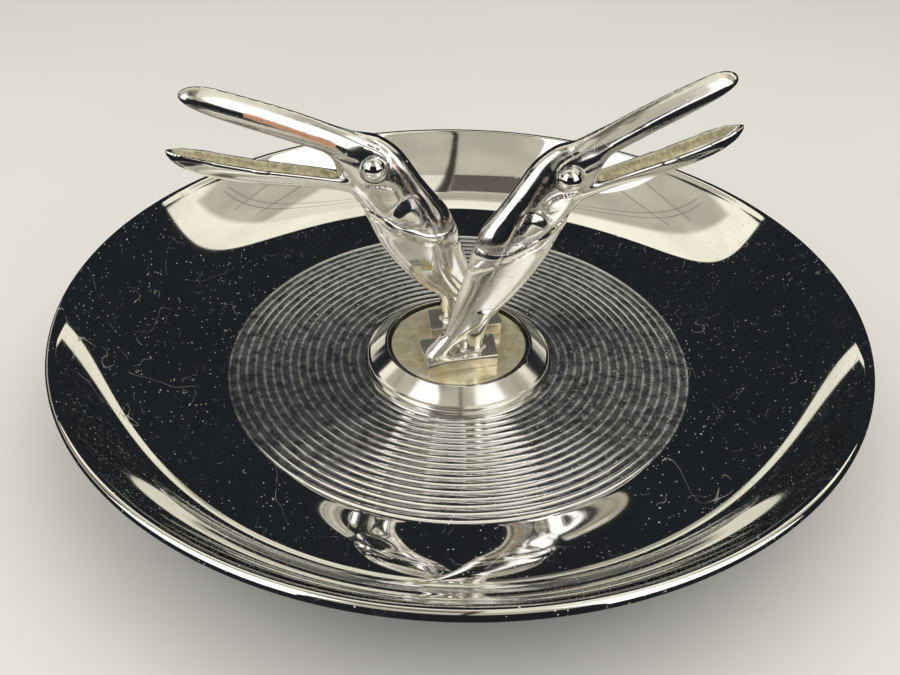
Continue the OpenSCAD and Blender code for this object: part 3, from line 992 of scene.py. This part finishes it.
def bird_marks(s, w, z):
    """Named shares from 0 to 1 of each kind of surface, for the casting's material."""
    rows = smooth_rows(JAW, 4)
    depth = np.interp(s, rows[:, 0], rows[:, 1]) - z
    half = np.interp(s, rows[:, 0], rows[:, 4])
    trough = smoothstep((half * 0.80 - np.abs(w)) / 0.5) * smoothstep((s - 36) / 1.2)
    trough *= smoothstep((83.5 - s) / 1.5) * smoothstep((depth + 0.1) / 0.6)
    trough *= smoothstep((half * 0.92 - depth - 0.4) / 0.5)
    grime = bell(from_eye(s, z) - 0.2, 0.4)
    for line, width in ((CREST, 0.5), (CHEEK, 0.7), (CREASE, 0.5), (MOUTH, 0.6)):
        grime = np.maximum(grime, bell(line.measure(s, z)[0], width))
    _, above_hem, _ = HEM.measure(s, z)
    _, in_pocket, _ = POCKET.measure(s, z)
    # Painted dark reflection: the lower slope of the pocket's dome is marked dark.
    pocket_painted_reflection = 0.5 * smoothstep(in_pocket / 2) * smoothstep((58 - z) / 5)
    # Along the valley the mark is real pitting and painted dark reflection together.
    pits_and_painted_reflection = np.maximum(bell(VALLEY.measure(s, z)[0], 1.5), pocket_painted_reflection)
    pits_and_painted_reflection *= smoothstep(above_hem / 0.6) * smoothstep((28 - s) / 3)
    stations = (35, 62, 79)
    flank_top = np.interp(s, stations, (80, 89.5, 96))
    flank_foot = np.interp(s, stations, (74.5, 83, 90))
    # Painted dark reflection along the lower side of the upper bill.
    bill_flank_painted_reflection = smoothstep((s - 33) / 6) * smoothstep((flank_top - z) / 2) * smoothstep(z - flank_foot)
    pits_and_painted_reflection = np.maximum(pits_and_painted_reflection, 0.6 * bill_flank_painted_reflection)
    stained = bell(STAIN.measure(s, z)[0], 1.3)
    foot = smoothstep((FLANGE_Z + FLANGE_T + 1.6 - z) / 1.6)
    return {"trough": trough, "grime": grime, "pits_and_painted_reflection": pits_and_painted_reflection, "stained": stained, "foot": foot}


def mesh_places(mesh):
    """The mesh's points as an array, in metres."""
    place = np.empty(len(mesh.vertices) * 3, np.float32)
    mesh.vertices.foreach_get("co", place)
    return place.reshape(-1, 3).astype(float)


def add_smooth(obj, name, iterations):
    """Adds a gentle smoothing step."""
    smooth = obj.modifiers.new(name, "SMOOTH")
    smooth.factor = 0.5
    smooth.iterations = iterations


def bird_flesh():
    """Body, lower bill and the two legs, run together into one smooth skin."""
    top = FLANGE_Z + FLANGE_T
    column = leg_loft("column", ((3.0, -7.9, top - 3.2, 7.2, 5.0), (3.0, -7.9, top - 1.2, 6.6, 4.8),
                                 (3.1, -8.0, top + 0.2, 5.0, 4.2), (3.3, -8.2, top + 2, 4.1, 3.7),
                                 (4.2, -8.8, 20, 4.3, 3.7), (5.6, -9.3, 27, 4.8, 3.6)))
    root = leg_loft("root", ((-8.4, -12.5, top - 3.2, 4.1, 3.9), (-8.4, -12.5, top - 0.8, 4.1, 3.9),
                             (-8.2, -12.4, top + 0.4, 3.9, 3.5), (-7.4, -12.2, 12.2, 3.7, 3.2),
                             (-6.0, -12.0, 13.8, 3.7, 3.1), (-3.4, -11.2, 17.5, 3.5, 3.0)))
    flesh = joined("flesh", [body_loft(), jaw_loft(), column, root])
    # The lower bill's edge lies level while the mesh is rebuilt, so that it comes out as a clean line.
    level = Matrix.Rotation(JAW_SLOPE, 4, "Y")
    flesh.data.transform(level)
    remesh = flesh.modifiers.new("remesh", "REMESH")
    remesh.mode = "VOXEL"
    remesh.voxel_size = 0.45 * MM
    add_smooth(flesh, "soften", 11)
    finer = flesh.modifiers.new("finer", "SUBSURF")
    finer.levels = 1
    finer.render_levels = 1
    add_smooth(flesh, "fair", 10)
    applied(flesh).data.transform(level.inverted())
    return flesh


def add_relief(mesh):
    """Moves the mesh's points out or in by the bird's relief."""
    place = mesh_places(mesh)
    normal = np.empty(len(place) * 3, np.float32)
    mesh.vertex_normals.foreach_get("vector", normal)
    normal = normal.reshape(-1, 3).astype(float)
    place += normal * bird_relief(*(place / MM).T)[:, None] * MM
    mesh.vertices.foreach_set("co", place.ravel().astype(np.float32))
    mesh.update()


def bird_mesh():
    """One casting in its own plane: (outwards, sideways, up), in metres above the dish's floor."""
    flesh = bird_flesh()
    add_relief(flesh.data)
    add_smooth(flesh, "polish", 2)
    applied(flesh).data.shade_smooth()
    plate = flange_plate()
    plate.data.shade_smooth()
    plate.data.set_sharp_from_angle(angle=math.radians(50))
    casting = joined("casting", [flesh, plate])
    mesh = casting.data
    bpy.data.objects.remove(casting)
    for mark, share in bird_marks(*(mesh_places(mesh) / MM).T).items():
        mesh.attributes.new(mark, "FLOAT", "POINT").data.foreach_set("value", share.astype(np.float32))
    return mesh


def bird_matrix(half_turn):
    """Takes the bird's own plane to the dish's frame, turned half a turn for the left bird."""
    plane = Matrix.Rotation(BIRD_TURN, 4, "Z") @ Matrix.Translation((0, -BIRD_OFFSET * MM, FLOOR_Z))
    turn = Matrix.Rotation(math.pi if half_turn else 0, 4, "Z")
    return Matrix.Translation((ORNAMENT_X, 0, 0)) @ turn @ plane


def on_left_bird(s, w, z):
    """A point given in the left bird's plane, in millimetres, in the dish's frame."""
    return bird_matrix(True) @ Vector((s * MM, w * MM, z * MM))


def left_bird_patch(start, end, width):
    """Where a patch on the left bird starts and ends in the dish's frame, and its width, in metres."""
    return on_left_bird(*start), on_left_bird(*end), width * MM


def placed_copy(name, mesh, matrix):
    """An object with its own copy of a mesh, moved by the matrix."""
    obj = new_object(name, mesh.copy())
    obj.data.transform(matrix)
    return obj


def add_bird(name, mesh, half_turn, material):
    """One of the two castings, from the mesh in the bird's own plane."""
    obj = placed_copy(name + "_casting", mesh, bird_matrix(half_turn))
    finish_piece(obj, material, "casting_chrome", name)


def eye_mesh():
    """An eye ball on its peg, pointing along +Z away from the head."""
    steps, sweep = 32, 150
    peg_r, peg_end = 1.4, -4.0
    outline = [(0, EYE_R)]
    for k in range(1, steps + 1):
        a = math.radians(90 - sweep * k / steps)
        outline.append((EYE_R * math.cos(a), EYE_R * math.sin(a)))
    outline += [(peg_r, -EYE_R + 0.3), (peg_r, peg_end), (0, peg_end)]
    obj = lathe("eye_ball", outline, 64)
    mesh = obj.data
    bpy.data.objects.remove(obj)
    return mesh


def add_eye(node, mesh, half_turn, side, material):
    """side is -1 for the eye that faces -sideways in the bird's own plane."""
    stand = Matrix.Rotation(math.radians(-90 * side), 4, "X")
    place = Matrix.Translation((EYE_PLACE[0] * MM, side * EYE_SIDE * MM, EYE_PLACE[1] * MM))
    obj = placed_copy(node + "_ball", mesh, bird_matrix(half_turn) @ place @ stand)
    finish_piece(obj, material, "eye_chrome", node)


def dress_fastenings():
    """The plain steel pieces under the dish keep their CAD shape."""
    steel = steel_material()
    for node in ("clamp_plate", "screw_washers", "ornament_screws"):
        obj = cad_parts[node]
        for material_slot in obj.material_slots:
            material_slot.material = steel


def main():
    add_camera()
    add_floor()
    add_ceiling()
    add_windows()
    add_left_wall()
    add_fill()
    add_world()
    add_dish()
    add_collar()
    add_seat()
    add_foot()
    casting = bird_mesh()
    add_bird("right_bird", casting, False, casting_material("right_bird_plate"))
    copper, yellow = left_bird_patch(*COPPER_STREAK), left_bird_patch(*YELLOW_SPOT)
    add_bird("left_bird", casting, True, casting_material("left_bird_plate", copper, yellow))
    ball = eye_mesh()
    eye = eye_material()
    add_eye("right_bird_front_eye", ball, False, -1, eye)
    add_eye("right_bird_rear_eye", ball, False, 1, eye)
    add_eye("left_bird_front_eye", ball, True, 1, eye)
    add_eye("left_bird_rear_eye", ball, True, -1, eye)
    dress_fastenings()
    bpy.context.scene.view_settings.view_transform = "Standard"


main()
